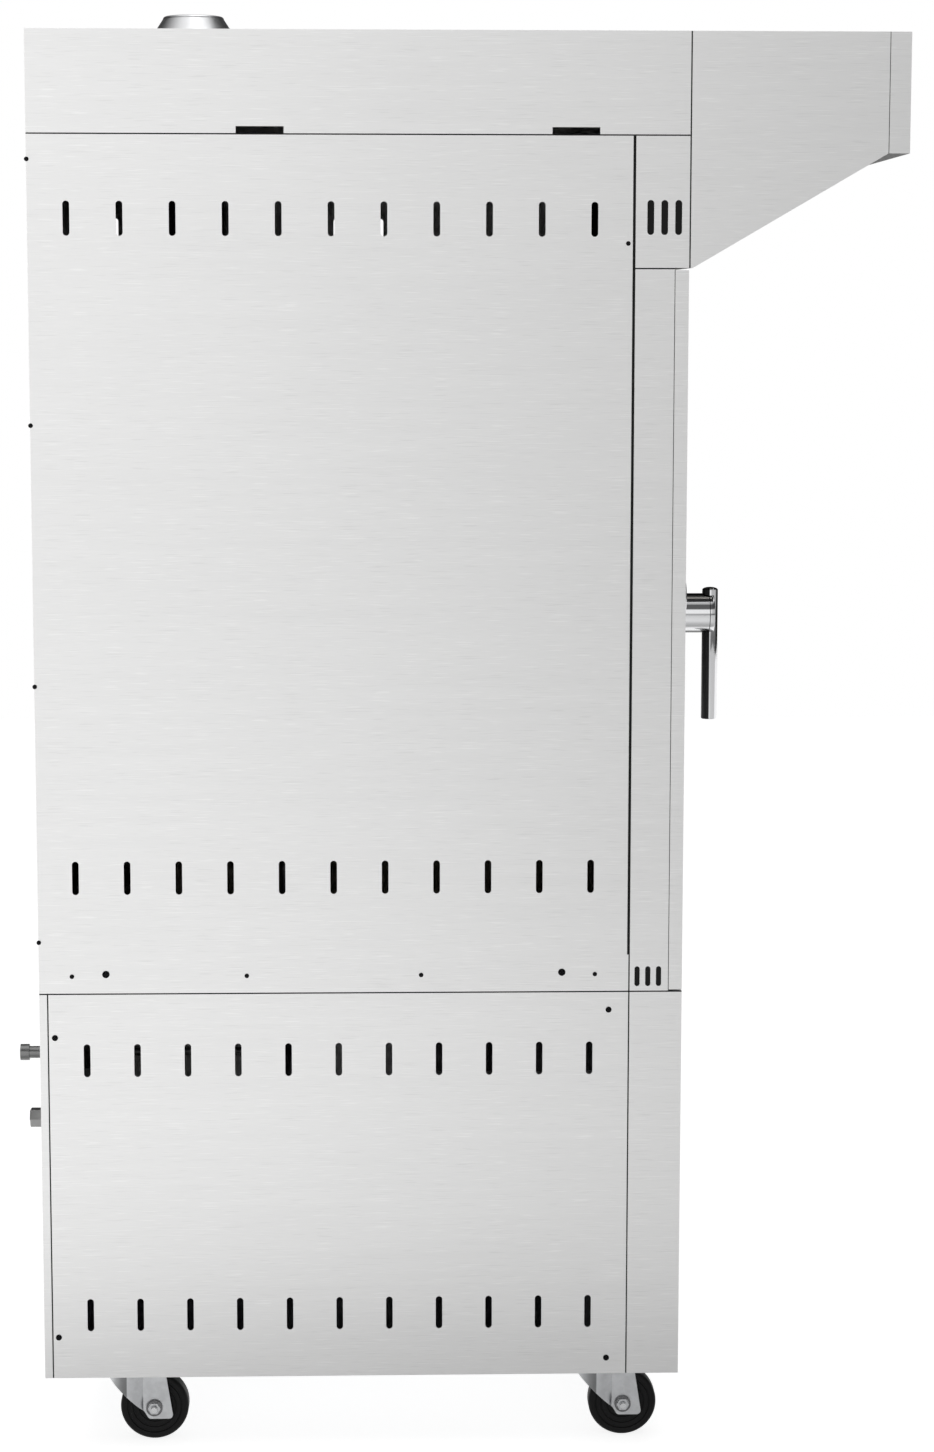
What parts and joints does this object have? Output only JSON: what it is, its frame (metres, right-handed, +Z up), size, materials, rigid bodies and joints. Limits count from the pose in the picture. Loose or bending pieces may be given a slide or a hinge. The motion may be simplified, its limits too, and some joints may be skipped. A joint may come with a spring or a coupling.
{
  "type": "vertical water smoker",
  "caption": "Floor-standing stainless smoking cabinet on swivel casters, with a lever-latched door, wire racks over a water pan, a chip drawer, a hood canopy and a roof flue.",
  "frame": {"origin": "on the floor, under the middle of the whole object's box", "axes": "+Z up; the door, hood and handle face -Y; +X is to the right for a person who faces the door"},
  "size_m": [0.9048, 1.2676, 2.09],
  "materials": {
    "brushed_steel": "horizontal brushed grain",
    "button_plastic": "moulded",
    "chamber_steel": "satin, lightly heat tinted",
    "clear_glass": "toughened pane",
    "dial_metal": "turned",
    "display_glass": "black glass",
    "element_sheath": "heat-dulled sheath",
    "fitting_metal": "nickel-plated brass",
    "frame_steel": "mill finish sheet and bar",
    "gasket_rubber": "silicone",
    "insulation": "mineral wool",
    "motor_paint": "satin black",
    "polished_chrome": "polished",
    "rack_wire": "plated wire",
    "screw_steel": "stainless screw",
    "wheel_rubber": "black rubber",
    "zinc_steel": "zinc-plated pressing"
  },
  "bodies": {
    "cabinet": {"base_pan": "frame_steel", "cabinet_frame": "frame_steel", "caster_plates": "zinc_steel", "chamber_liner": "chamber_steel", "control_column": "brushed_steel", "control_fascia": "brushed_steel", "damper_actuator": "motor_paint", "display_glass": "display_glass", "door_frame": "brushed_steel", "drain_socket": "fitting_metal", "fan_baffle": "chamber_steel", "fan_motor": "motor_paint", "floor_deck": "frame_steel", "flue_collar": "polished_chrome", "flue_pipe": "frame_steel", "header_box": "brushed_steel", "heating_element": "element_sheath", "hinge_brackets": "zinc_steel", "hood_canopy": "brushed_steel", "hood_fascia": "brushed_steel", "insulation_jacket": "insulation", "latch_keeper": "zinc_steel", "lower_front_cover": "brushed_steel", "lower_rear_panel": "brushed_steel", "lower_side_panel_left": "brushed_steel", "lower_side_panel_right": "brushed_steel", "panel_screws": "screw_steel", "rack_guides": "chamber_steel", "smoke_box": "frame_steel", "smoke_duct": "frame_steel", "top_cover": "brushed_steel", "upper_rear_panel": "brushed_steel", "upper_side_panel_left": "brushed_steel", "upper_side_panel_right": "brushed_steel", "water_inlet": "fitting_metal", "water_pipes": "fitting_metal"},
    "door": {"door_skin": "brushed_steel", "door_inner_panel": "chamber_steel", "door_window": "clear_glass", "door_gasket": "gasket_rubber"},
    "handle": {"door_handle": "polished_chrome", "latch_spindle": "polished_chrome"},
    "rack_1": {"rack_1": "rack_wire"},
    "rack_2": {"rack_2": "rack_wire"},
    "rack_3": {"rack_3": "rack_wire"},
    "water_pan": {"water_pan": "chamber_steel"},
    "chip_drawer": {"chip_drawer": "brushed_steel"},
    "hood_filter": {"hood_filter": "chamber_steel"},
    "flue_damper": {"flue_damper": "chamber_steel"},
    "fan_wheel": {"fan_wheel": "chamber_steel"},
    "temperature_dial": {"temperature_dial": "dial_metal"},
    "start_button": {"start_button": "button_plastic"},
    "caster_fork_rear_left": {"caster_fork_rear_left": "zinc_steel"},
    "caster_wheel_rear_left": {"caster_wheel_rear_left": "wheel_rubber"},
    "caster_fork_rear_right": {"caster_fork_rear_right": "zinc_steel"},
    "caster_wheel_rear_right": {"caster_wheel_rear_right": "wheel_rubber"},
    "caster_fork_front_left": {"caster_fork_front_left": "zinc_steel"},
    "caster_wheel_front_left": {"caster_wheel_front_left": "wheel_rubber"},
    "caster_fork_front_right": {"caster_fork_front_right": "zinc_steel"},
    "caster_wheel_front_right": {"caster_wheel_front_right": "wheel_rubber"}
  },
  "joints": [
    {"name": "door_hinge", "type": "hinge", "parent": "cabinet", "child": "door", "pos_m": [0.4395, -0.3199, 1.2106], "axis": [0, 0, 1], "range_deg": [0, 120]},
    {"name": "handle_turn", "type": "hinge", "parent": "door", "child": "handle", "pos_m": [-0.258, -0.32775, 1.2106], "axis": [0, -1, 0], "range_deg": [0, 90]},
    {"name": "rack_1_slide", "type": "slide", "parent": "cabinet", "child": "rack_1", "axis": [0, -1, 0], "range_m": [0, 0.03]},
    {"name": "rack_2_slide", "type": "slide", "parent": "cabinet", "child": "rack_2", "axis": [0, -1, 0], "range_m": [0, 0.03]},
    {"name": "rack_3_slide", "type": "slide", "parent": "cabinet", "child": "rack_3", "axis": [0, -1, 0], "range_m": [0, 0.03]},
    {"name": "water_pan_slide", "type": "slide", "parent": "cabinet", "child": "water_pan", "axis": [0, -1, 0], "range_m": [0, 0.03]},
    {"name": "drawer_slide", "type": "slide", "parent": "cabinet", "child": "chip_drawer", "axis": [0, -1, 0], "range_m": [0, 0.26]},
    {"name": "filter_slide", "type": "slide", "parent": "cabinet", "child": "hood_filter", "axis": [0, -0.8636, 0.5042], "range_m": [0, 0.016]},
    {"name": "damper_turn", "type": "hinge", "parent": "cabinet", "child": "flue_damper", "pos_m": [0, 0.38095, 1.921], "axis": [1, 0, 0], "range_deg": [0, 90]},
    {"name": "fan_spin", "type": "hinge", "parent": "cabinet", "child": "fan_wheel", "pos_m": [0.076, 0.43025, 1.2], "axis": [0, 1, 0], "continuous": true},
    {"name": "dial_turn", "type": "hinge", "parent": "cabinet", "child": "temperature_dial", "pos_m": [-0.3725, -0.32775, 1.2445], "axis": [0, 1, 0], "range_deg": [0, 270]},
    {"name": "button_press", "type": "slide", "parent": "cabinet", "child": "start_button", "axis": [0, 1, 0], "range_m": [0, 0.0025], "stiffness_N_per_m": 400},
    {"name": "swivel_rear_left", "type": "hinge", "parent": "cabinet", "child": "caster_fork_rear_left", "pos_m": [-0.364, 0.47545, 0.13], "axis": [0, 0, 1], "continuous": true},
    {"name": "wheel_rear_left", "type": "hinge", "parent": "caster_fork_rear_left", "child": "caster_wheel_rear_left", "pos_m": [-0.364, 0.43745, 0.05], "axis": [1, 0, 0], "continuous": true},
    {"name": "swivel_rear_right", "type": "hinge", "parent": "cabinet", "child": "caster_fork_rear_right", "pos_m": [0.364, 0.47545, 0.13], "axis": [0, 0, 1], "continuous": true},
    {"name": "wheel_rear_right", "type": "hinge", "parent": "caster_fork_rear_right", "child": "caster_wheel_rear_right", "pos_m": [0.364, 0.43745, 0.05], "axis": [1, 0, 0], "continuous": true},
    {"name": "swivel_front_left", "type": "hinge", "parent": "cabinet", "child": "caster_fork_front_left", "pos_m": [-0.364, -0.21465, 0.13], "axis": [0, 0, 1], "continuous": true},
    {"name": "wheel_front_left", "type": "hinge", "parent": "caster_fork_front_left", "child": "caster_wheel_front_left", "pos_m": [-0.364, -0.25265, 0.05], "axis": [1, 0, 0], "continuous": true},
    {"name": "swivel_front_right", "type": "hinge", "parent": "cabinet", "child": "caster_fork_front_right", "pos_m": [0.364, -0.21465, 0.13], "axis": [0, 0, 1], "continuous": true},
    {"name": "wheel_front_right", "type": "hinge", "parent": "caster_fork_front_right", "child": "caster_wheel_front_right", "pos_m": [0.364, -0.25265, 0.05], "axis": [1, 0, 0], "continuous": true}
  ]
}
